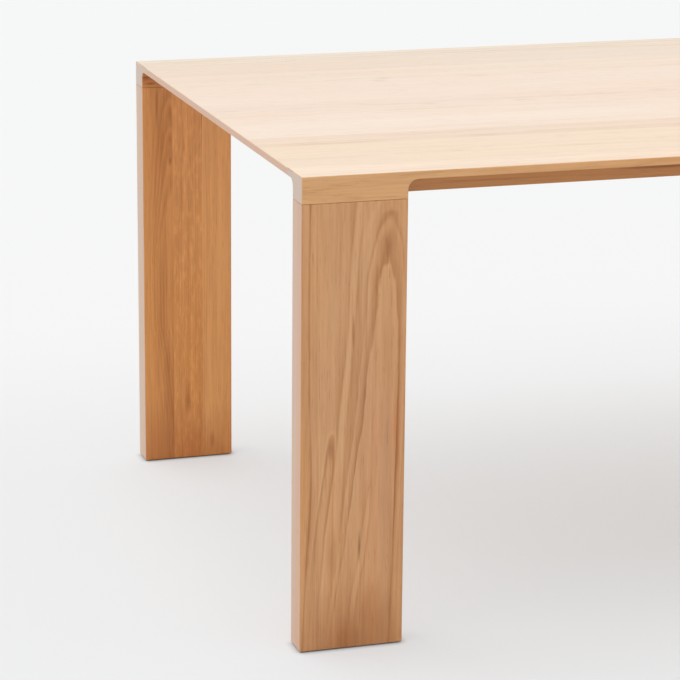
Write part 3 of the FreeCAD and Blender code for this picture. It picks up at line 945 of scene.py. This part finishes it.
@dataclass(frozen=True)
class Studio:
    """A white floor and surround, and a broad soft lamp above the left and a little behind.

    To the camera the floor glows: near_white in front, far_white behind and towards its rim.
    """

    floor_half: float = 14.0
    floor_colour: Colour = (0.850, 0.866, 0.876)
    floor_roughness: float = 0.7
    floor_specular: float = 0.2
    near_white: Colour = (0.818, 0.827, 0.836)
    far_white: Colour = (0.927, 0.922, 0.917)
    far_from: float = 0.45
    far_to: float = 1.5
    rim_start: float = 7.0
    shown_share: float = 0.57
    contact_reach: float = 0.012
    contact_samples: int = 8
    seen_surround: float = 0.922
    surround: float = 0.6
    lamp_strength: float = 1.6
    lamp_spread: float = 1.1
    lamp_from: Triple = (-0.3, 0.15, 0.95)

    def build(self) -> None:
        """Make the floor, the surround and the lamp."""
        self._build_floor()
        self._build_surround()
        self._build_lamp()
        log.info("built the studio")

    def _build_floor(self) -> None:
        """Make the floor."""
        half = self.floor_half
        mesh = bpy.data.meshes.new("studio_floor")
        corners = [(-half, -half, 0), (half, -half, 0), (half, half, 0), (-half, half, 0)]
        mesh.from_pydata(corners, [], [(0, 1, 2, 3)])
        mesh.materials.append(self._floor_material())
        floor = bpy.data.objects.new("studio_floor", mesh)
        bpy.context.scene.collection.objects.link(floor)

    def _floor_material(self) -> bpy.types.Material:
        """Make the floor's material, which takes shadows and glows a little to the camera.

        Returns:
            The new material.
        """
        material, graph, shader = new_material("studio_floor")
        plain = {"Base Color": self.floor_colour, "Roughness": self.floor_roughness}
        graph.feed(shader, {**plain, "Specular IOR Level": self.floor_specular})
        place = graph.add("ShaderNodeTexCoord", {})["Object"]
        behind = graph.smooth_step(graph.separate(place)[1], self.far_from, self.far_to)
        away = graph.vector("LENGTH", place)
        away = graph.smooth_step(away, self.rim_start, self.floor_half)
        far = graph.math("MAXIMUM", behind, away)
        reach = {"Distance": self.contact_reach}
        contact = graph.add("ShaderNodeAmbientOcclusion", reach, samples=self.contact_samples)
        white = graph.blend(far, self.near_white, self.far_white)
        glow = graph.add("ShaderNodeEmission", {"Color": white, "Strength": contact["AO"]})[0]
        share = graph.linear(away, 1.0 - self.shown_share, self.shown_share)
        seen = graph.add("ShaderNodeLightPath", {})["Is Camera Ray"]
        share = graph.math("MULTIPLY", seen, share)
        both = graph.add("ShaderNodeMixShader", {0: share, 1: shader.outputs[0], 2: glow})
        output = next(node for node in graph.tree.nodes if node.type == "OUTPUT_MATERIAL")
        graph.feed(output, {"Surface": both[0]})
        return material

    def _build_surround(self) -> None:
        """Make the white surround, which shows brighter than it lights."""
        world = bpy.data.worlds.new("studio")
        world.use_nodes = True
        bpy.context.scene.world = world
        graph = NodeGraph(world.node_tree)
        path = graph.add("ShaderNodeLightPath", {})
        seen = graph.math("MAXIMUM", path["Is Camera Ray"], path["Is Glossy Ray"])
        seen = graph.math("MAXIMUM", seen, path["Is Transmission Ray"])
        strength = graph.linear(seen, self.seen_surround - self.surround, self.surround)
        background = world.node_tree.nodes["Background"]
        graph.feed(background, {"Color": (1.0, 1.0, 1.0), "Strength": strength})

    def _build_lamp(self) -> None:
        """Make the lamp."""
        lamp = bpy.data.lights.new("key", "SUN")
        lamp.energy = self.lamp_strength
        lamp.angle = self.lamp_spread
        holder = bpy.data.objects.new("key", lamp)
        bpy.context.scene.collection.objects.link(holder)
        holder.rotation_euler = Vector(self.lamp_from).to_track_quat("Z", "Y").to_euler()


@dataclass(frozen=True)
class ViewCamera:
    """The camera: its place in metres, turns in radians and focal length in image widths."""

    place: Triple = (-2.22907, -4.42435, 1.60978)
    yaw: float = 0.3048
    pitch: float = 0.2660
    roll: float = 0.0087
    focal: float = 2812.12 / 680
    sensor: float = 36.0
    clip_end: float = 100.0

    def build(self) -> None:
        """Make the scene's camera."""
        data = bpy.data.cameras.new("view_camera")
        data.sensor_width = self.sensor
        data.lens = self.focal * self.sensor
        data.clip_end = self.clip_end
        camera = bpy.data.objects.new("view_camera", data)
        bpy.context.scene.collection.objects.link(camera)
        ahead = math.cos(self.pitch)
        ways = (math.sin(self.yaw) * ahead, math.cos(self.yaw) * ahead, -math.sin(self.pitch))
        forward = Vector(ways)
        level = Vector((math.cos(self.yaw), -math.sin(self.yaw), 0.0))
        upward = level.cross(forward)
        right = math.cos(self.roll) * level + math.sin(self.roll) * upward
        top = math.cos(self.roll) * upward - math.sin(self.roll) * level
        turn = Matrix((right, top, -forward)).transposed().to_4x4()
        camera.matrix_world = Matrix.Translation(self.place) @ turn
        bpy.context.scene.camera = camera
        log.info("built the camera")


# ------------ cuts of the boards

# A reach in metres beyond any board, for a mark that runs right through it.
THROUGH = 9.0
# Painted shade: the darker tone at the feet, near the floor.
FOOT_PAINTED_SHADE = (0.80, 0.70, 0.60)


def spot(
    across: float, along: float, wide: float, long: float, tint: Colour, ragged: float = 0.4
) -> Patch:
    """A patch right through a board: its middle across and along it, and its reach both ways."""
    return Patch((across, 0.0, along), (wide, THROUGH, long), tint, ragged=ragged)


RAIL_CUT = Cut(
    pith=(-0.12, 0.02), lean=(0.01, 0.0), ring=0.0045, contrast=0.14, streaks=0.35, seed=5.2
)
FRONT_RAIL = replace(
    RAIL_CUT,
    marks=(
        # painted shade on the core behind the lip, darker still just under the lip, then its lines
        Patch(
            (0.0635, 0.0, 0.0), (0.016, THROUGH, THROUGH), (0.68, 0.57, 0.39), soft=0.02, ragged=0.0
        ),
        Patch((0.048, 0.0285, 0.6), (0.012, 0.010, THROUGH), (0.86, 0.78, 0.70), ragged=0.5),
        Patch((0.048, 0.016, 0.60), (0.012, 0.0025, 0.09), (0.58, 0.46, 0.34)),
        Patch((0.048, 0.011, 0.34), (0.012, 0.0025, 0.12), (0.84, 0.74, 0.64)),
        Patch((0.048, 0.005, 0.50), (0.012, 0.0030, 0.12), (1.08, 1.10, 1.12)),
    ),
)
BACK_RAIL = replace(
    RAIL_CUT,
    seed=9.4,
    ring=0.0035,
    contrast=0.9,
    marks=(
        # painted shade on the inner side, under the top, then the lines near its left end
        Patch(
            (0.0155, 0.0, 0.0), (0.016, THROUGH, THROUGH), (0.84, 0.66, 0.46), soft=0.02, ragged=0.0
        ),
        Patch((0.030, 0.007, 0.0155), (0.012, 0.0035, 0.013), (0.66, 0.50, 0.30)),
        Patch((0.030, 0.012, 0.014), (0.012, 0.0022, 0.012), (1.12, 1.12, 1.08)),
        Patch((0.030, 0.019, 0.008), (0.012, 0.0045, 0.012), (0.68, 0.54, 0.36)),
        Patch((0.030, 0.030, 0.03), (0.012, 0.0075, 0.05), (0.62, 0.50, 0.38)),
    ),
)

# the tall arch near the inner edge
TALL_ARCH = Figure(
    across=(
        (0.0, 0.096), (0.1, 0.104), (0.18, 0.111), (0.28, 0.1185), (0.36, 0.1245), (0.46, 0.131),
        (0.52, 0.1345), (0.61, 0.136), (0.71, 0.143),
    ),
    depth=(
        (0.0, 0.017), (0.1, 0.0255), (0.18, 0.0313), (0.28, 0.037), (0.36, 0.0418), (0.46, 0.044),
        (0.52, 0.046), (0.58, 0.048), (0.6, 0.049), (0.615, 0.0502), (0.65, 0.0517), (0.67, 0.0535),
        (0.69, 0.0568), (0.71, 0.062),
    ),
    tones=(
        (0.0, 0.3), (0.034, 0.28), (0.046, 0.2), (0.0494, 0.08), (0.0501, 0.95), (0.0515, 0.7),
        (0.0532, 0.4), (0.055, 0.3),
    ),
    fades=((0.0, 0.25), (0.15, 0.45), (0.3, 0.85)),
    wobble=0.003,
)
# its outer lines, which end below the top
OUTER_LINES = replace(
    TALL_ARCH,
    tones=(
        (0.0, 0.3), (0.0532, 0.3), (0.055, 0.2), (0.0562, 0.1), (0.057, 0.62), (0.059, 0.5),
        (0.0615, 0.33), (0.067, 0.3),
    ),
    fades=((0.0, 0.25), (0.15, 0.45), (0.3, 0.85), (0.54, 0.85), (0.62, 0.0)),
)

NEAR_FACE_FIGURES = (
    TALL_ARCH,
    OUTER_LINES,
    # the pointed tip of the outer arch
    Figure(
        across=(
            (0.0, 0.133), (0.55, 0.133), (0.582, 0.1333), (0.612, 0.1343), (0.643, 0.1367),
            (0.673, 0.1366), (0.6825, 0.1384), (0.69, 0.1397), (0.71, 0.142),
        ),
        depth=(
            (0.0, 0.048), (0.55, 0.0485), (0.582, 0.0495), (0.612, 0.0516), (0.643, 0.0537),
            (0.6625, 0.0558), (0.672, 0.05675), (0.68, 0.0573), (0.688, 0.0581), (0.694, 0.0604),
            (0.7, 0.064), (0.71, 0.07),
        ),
        tones=(
            (0.0, 0.3), (0.0552, 0.3), (0.0561, 0.16), (0.0568, 0.2), (0.0573, 0.78), (0.058, 0.68),
            (0.059, 0.36), (0.0602, 0.3),
        ),
        fades=((0.54, 0.0), (0.62, 0.9)),
        wobble=0.0009,
    ),
    # the light band that climbs to the top beside it
    Figure(
        across=(
            (0.0, 0.09), (0.6, 0.0905), (0.628, 0.0955), (0.651, 0.1), (0.674, 0.108),
            (0.7045, 0.1205), (0.71, 0.123),
        ),
        tones=((0.0, 0.08), (0.003, 0.12), (0.0055, 0.3)),
        fades=((0.58, 0.0), (0.64, 0.6), (0.71, 0.8)),
        wobble=0.002,
    ),
    # the light stripe, with a dark line beside it
    Figure(
        across=(
            (0.0, 0.052), (0.12, 0.058), (0.25, 0.06), (0.36, 0.066), (0.41, 0.07), (0.46, 0.075),
            (0.51, 0.0785), (0.6, 0.083), (0.71, 0.091),
        ),
        tones=(
            (0.0, 0.0), (0.003, 0.05), (0.005, 0.25), (0.0062, 0.6), (0.009, 0.5), (0.013, 0.42),
            (0.019, 0.3),
        ),
        fades=((0.0, 0.0), (0.12, 0.25), (0.25, 0.6), (0.4, 0.85)),
        wobble=0.003,
    ),
    # the dark line near the outer edge, with a faint one beside it
    Figure(
        across=((0.0, 0.004), (0.1, 0.008), (0.27, 0.0165), (0.4, 0.0135), (0.71, 0.0135)),
        tones=((0.0, 0.95), (0.001, 0.8), (0.003, 0.3), (0.01, 0.3), (0.0108, 0.46), (0.0135, 0.3)),
        wobble=0.003,
    ),
    # the dark line near the inner edge
    Figure(
        across=(
            (0.0, 0.1445), (0.1, 0.147), (0.16, 0.149), (0.28, 0.152), (0.46, 0.154), (0.71, 0.155),
        ),
        tones=((0.0, 0.65), (0.0012, 0.55), (0.003, 0.35), (0.006, 0.3)),
        fades=((0.0, 1.0), (0.4, 1.0), (0.5, 0.0)),
        wobble=0.0012,
    ),
    # the small arch
    Figure(
        across=(
            (0.0, 0.016), (0.12, 0.0255), (0.18, 0.031), (0.224, 0.036), (0.28, 0.0435),
            (0.35, 0.049), (0.71, 0.05),
        ),
        depth=(
            (0.0, 0.003), (0.3, 0.004), (0.33, 0.0065), (0.345, 0.0085), (0.36, 0.014),
            (0.45, 0.05),
        ),
        tones=((0.0, 0.3), (0.004, 0.35), (0.007, 0.8), (0.0084, 0.6), (0.0094, 0.1), (0.013, 0.3)),
        fades=((0.04, 0.0), (0.12, 0.55), (0.28, 0.95)),
        wobble=0.0024,
    ),
    # the light sliver low down, with a dark edge
    Figure(
        across=(
            (0.0, 0.081), (0.075, 0.0858), (0.111, 0.0915), (0.138, 0.097), (0.166, 0.101),
            (0.202, 0.1048), (0.224, 0.1075), (0.26, 0.111), (0.71, 0.115),
        ),
        depth=(
            (0.0, 0.002), (0.16, 0.002), (0.2, 0.003), (0.24, 0.0042), (0.26, 0.005), (0.3, 0.014),
            (0.45, 0.1),
        ),
        tones=(
            (0.0, 0.0), (0.0036, 0.05), (0.0046, 0.3), (0.005, 0.72), (0.0062, 0.5), (0.01, 0.3),
        ),
        fades=((0.0, 0.2), (0.08, 0.55), (0.3, 0.75)),
        wobble=0.0024,
    ),
)
NEAR_FACE = Cut(
    pith=(0.13, 0.03),
    lean=(0.0, 0.01),
    ring=0.0042,
    wander=0.01,
    contrast=0.1,
    streaks=0.7,
    seed=3.0,
    plain=0.3,
    figures=NEAR_FACE_FIGURES,
    marks=(
        # painted shade at the foot
        spot(0.083, 0.0, 0.12, 0.12, FOOT_PAINTED_SHADE),
        spot(0.003, 0.27, 0.013, 0.32, (1.02, 0.95, 0.78)),
        spot(0.136, 0.636, 0.007, 0.022, (0.84, 0.74, 0.64)),
        spot(0.1395, 0.687, 0.005, 0.01, (0.9, 0.84, 0.78)),
        spot(0.082, 0.505, 0.0025, 0.03, (0.72, 0.62, 0.52)),
        spot(0.151, 0.36, 0.006, 0.05, (1.02, 0.86, 0.7)),
        spot(0.048, 0.322, 0.005, 0.022, (0.76, 0.66, 0.56)),
        spot(0.095, 0.165, 0.0025, 0.03, (0.6, 0.5, 0.42)),
        spot(0.05, 0.15, 0.01, 0.05, (0.86, 0.8, 0.74)),
        spot(0.075, 0.01, 0.03, 0.05, (0.88, 0.79, 0.7)),
        spot(0.112, 0.05, 0.03, 0.055, (0.93, 0.87, 0.81)),
        spot(0.158, 0.1, 0.007, 0.3, (1.06, 1.07, 1.07)),
        spot(0.1, 0.42, 0.022, 0.28, (0.94, 0.92, 0.93)),
        spot(0.125, 0.3, 0.04, 0.28, (0.965, 0.925, 0.935)),
        spot(0.027, 0.32, 0.012, 0.07, (1.05, 1.06, 1.07)),
        spot(0.15, 0.35, 0.03, 0.5, (0.965, 0.935, 0.92)),
        spot(0.018, 0.6, 0.032, 0.22, (1.07, 1.07, 1.06)),
        spot(0.052, 0.16, 0.014, 0.24, (1.08, 1.09, 1.08)),
        spot(0.114, 0.18, 0.016, 0.34, (1.09, 1.1, 1.12)),
        spot(0.136, 0.2, 0.012, 0.28, (0.92, 0.93, 0.94)),
    ),
)

FAR_STAVE_1_FIGURES = (
    # narrow arches along the inner edge, one above another
    Figure(
        across=((0.0, 0.052), (0.71, 0.052)),
        depth=(
            (0.0, 0.004), (0.35, 0.022), (0.45, 0.032), (0.574, 0.04), (0.631, 0.0435),
            (0.685, 0.047), (0.71, 0.049),
        ),
        tones=(
            (0.0, 0.3), (0.036, 0.2), (0.0366, 0.7), (0.039, 0.3), (0.0398, 0.15), (0.0404, 0.85),
            (0.0422, 0.45), (0.0433, 0.15), (0.0438, 0.9), (0.0455, 0.45), (0.0467, 0.15),
            (0.0473, 0.85), (0.0495, 0.4), (0.0515, 0.15), (0.0522, 0.6), (0.055, 0.3),
        ),
        fades=((0.36, 0.0), (0.5, 0.6)),
        wobble=0.0014,
    ),
    # long dark lines that sweep inwards to the foot
    Figure(
        across=(
            (0.0, 0.058), (0.09, 0.053), (0.13, 0.049), (0.23, 0.038), (0.26, 0.032), (0.3, 0.031),
            (0.45, 0.032), (0.71, 0.032),
        ),
        tones=(
            (0.0, 0.9), (0.002, 0.5), (0.0045, 0.4), (0.005, 0.75), (0.008, 0.4), (0.01, 0.35),
            (0.0106, 0.7), (0.014, 0.3), (0.018, 0.25), (0.0186, 0.5), (0.023, 0.3),
        ),
        fades=((0.0, 0.6), (0.33, 0.6), (0.42, 0.0)),
        wobble=0.0016,
    ),
)
FAR_STAVE_1 = Cut(
    pith=(0.12, 0.03),
    ring=0.003,
    contrast=0.25,
    streaks=0.7,
    seed=6.0,
    plain=0.3,
    tint=(0.95, 0.93, 0.9),
    figures=FAR_STAVE_1_FIGURES,
    marks=(
        # painted shade at the foot
        spot(0.028, 0.0, 0.08, 0.13, FOOT_PAINTED_SHADE),
        spot(0.048, 0.1, 0.014, 0.14, (0.82, 0.74, 0.66)),
        spot(0.027, 0.675, 0.003, 0.05, (0.7, 0.62, 0.54)),
        spot(0.051, 0.66, 0.006, 0.02, (0.81, 0.69, 0.5)),
        spot(0.051, 0.612, 0.006, 0.018, (0.81, 0.69, 0.5)),
        spot(0.051, 0.57, 0.004, 0.012, (0.64, 0.52, 0.34)),
        spot(0.034, 0.3, 0.02, 0.5, (0.965, 0.955, 0.93)),
        spot(0.035, 0.6, 0.035, 0.1, (0.94, 0.88, 0.78)),
    ),
)
FAR_STAVE_2 = Cut(
    pith=(-0.05, 0.01),
    ring=0.004,
    contrast=0.25,
    streaks=0.65,
    seed=8.0,
    plain=0.33,
    rays=0.26,
    marks=(
        # painted shade at the foot
        spot(0.028, 0.0, 0.08, 0.13, FOOT_PAINTED_SHADE),
        spot(0.0205, 0.595, 0.003, 0.02, (0.86, 0.78, 0.7)),
        spot(0.027, 0.115, 0.007, 0.04, (0.7, 0.6, 0.5)),
        spot(0.0555, 0.65, 0.0022, 0.1, (0.55, 0.45, 0.36), ragged=0.2),
        spot(0.012, 0.13, 0.02, 0.14, (0.89, 0.87, 0.86)),
    ),
)
FAR_STAVE_3 = Cut(
    pith=(-0.08, 0.01),
    ring=0.0035,
    contrast=0.4,
    streaks=0.7,
    seed=11.0,
    plain=0.2,
    tint=(1.0, 1.05, 1.12),
    marks=(
        # painted shade at the foot
        spot(0.028, 0.0, 0.08, 0.1, FOOT_PAINTED_SHADE),
        spot(0.018, 0.03, 0.006, 0.02, FOOT_PAINTED_SHADE),
        spot(0.046, 0.02, 0.016, 0.06, (1.12, 1.12, 1.1)),
    ),
)

CALM_BOARD = Cut(contrast=0.2, streaks=0.3)
TOP_CUTS = {
    1: Cut(
        pith=(0.06, -0.06),
        contrast=0.35,
        streaks=0.4,
        seed=12.0,
        tint=(1.015, 1.025, 0.965),
        marks=(
            Flecks(0.045, 0.02, 5.0, 0.3),
            Flecks(0.09, 0.02, 5.0, 0.25),
        ),
    ),
    2: Cut(
        pith=(-0.03, -0.02),
        contrast=0.4,
        streaks=0.5,
        seed=15.0,
        tint=(0.985, 0.98, 0.955),
        marks=(
            spot(0.014, 1.0, 0.014, THROUGH, (0.965, 0.945, 0.91), ragged=1.2),
            spot(0.01, 0.13, 0.006, 0.11, (0.9, 0.86, 0.78)),
            spot(0.052, 0.3, 0.014, 0.16, (0.955, 0.94, 0.93), ragged=0.6),
            Flecks(0.017, 0.02, 9.0, 0.6),
            Flecks(0.055, 0.02, 9.0, 0.35),
        ),
    ),
    3: replace(
        CALM_BOARD,
        pith=(0.05, -0.09),
        seed=18.0,
        tint=(1.04, 1.09, 1.155),
        marks=(Flecks(0.03, 0.02, 5.0, 0.5),),
    ),
    4: replace(
        CALM_BOARD,
        pith=(-0.06, -0.03),
        seed=21.0,
        tint=(1.03, 1.06, 1.105),
        marks=(
            Flecks(0.06, 0.02, 4.0, 0.4),
            spot(0.11, 1.0, 0.06, THROUGH, (0.975, 0.96, 0.945), ragged=0.2),
            spot(0.108, 0.38, 0.009, 0.022, (0.9, 0.85, 0.83)),
            spot(0.101, 0.545, 0.008, 0.024, (0.92, 0.87, 0.85)),
        ),
    ),
    5: replace(
        CALM_BOARD,
        pith=(0.07, -0.07),
        seed=24.0,
        tint=(1.02, 1.046, 1.092),
        marks=(
            Flecks(0.008, 0.012, 8.0, 0.6),
            spot(0.0, 1.0, 0.07, THROUGH, (0.98, 0.965, 0.955), ragged=0.2),
            spot(0.004, 0.65, 0.01, 0.035, (0.93, 0.89, 0.87)),
            spot(0.02, 0.81, 0.018, 0.022, (0.93, 0.88, 0.86)),
        ),
    ),
    6: replace(
        CALM_BOARD,
        pith=(-0.04, -0.04),
        seed=27.0,
        tint=(1.01, 1.054, 1.116),
        marks=(
            spot(0.106, 0.365, 0.014, 0.018, (0.9, 0.85, 0.83)),
            spot(0.112, 0.555, 0.012, 0.024, (0.91, 0.87, 0.85)),
            spot(0.113, 0.68, 0.007, 0.04, (0.92, 0.88, 0.86)),
        ),
    ),
    7: replace(
        CALM_BOARD,
        pith=(0.06, -0.08),
        seed=30.0,
        tint=(1.0, 1.033, 1.053),
        marks=(
            Flecks(0.012, 0.012, 8.0, 0.7),
            spot(0.01, 0.382, 0.012, 0.02, (0.88, 0.83, 0.81)),
            spot(0.003, 0.146, 0.004, 0.03, (0.88, 0.83, 0.8)),
            spot(0.005, 0.535, 0.006, 0.028, (0.92, 0.88, 0.86)),
        ),
    ),
    8: replace(
        CALM_BOARD,
        pith=(-0.05, -0.04),
        seed=33.0,
        tint=(0.94, 0.982, 1.0),
        marks=(spot(0.06, 0.1, 0.12, 0.5, (1.01, 0.985, 0.97)),),
    ),
}


def main() -> None:
    """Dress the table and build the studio."""
    logging.basicConfig(level=logging.INFO, format="%(name)s: %(message)s")
    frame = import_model()
    table = Table(frame["nodes"])
    far_staves = (FAR_STAVE_1, FAR_STAVE_2, FAR_STAVE_3)
    parts = [
        TopPanel(TOP_CUTS),
        SideRails(FRONT_RAIL, BACK_RAIL),
        CrossMembers(),
        Leg(Corner.FRONT_LEFT, face_cut=NEAR_FACE),
        Leg(Corner.FRONT_RIGHT),
        # its face board gets a painted side light of its own
        Leg(Corner.BACK_LEFT, face_painted_side_light=(0.63, 0.42, 0.285), stave_cuts=far_staves),
        Leg(Corner.BACK_RIGHT),
        LegFasteners(),
    ]
    for part in parts:
        part.dress(table)
    Studio().build()
    ViewCamera().build()
    bpy.context.scene.view_settings.view_transform = "Standard"


if __name__ == "__main__":
    main()
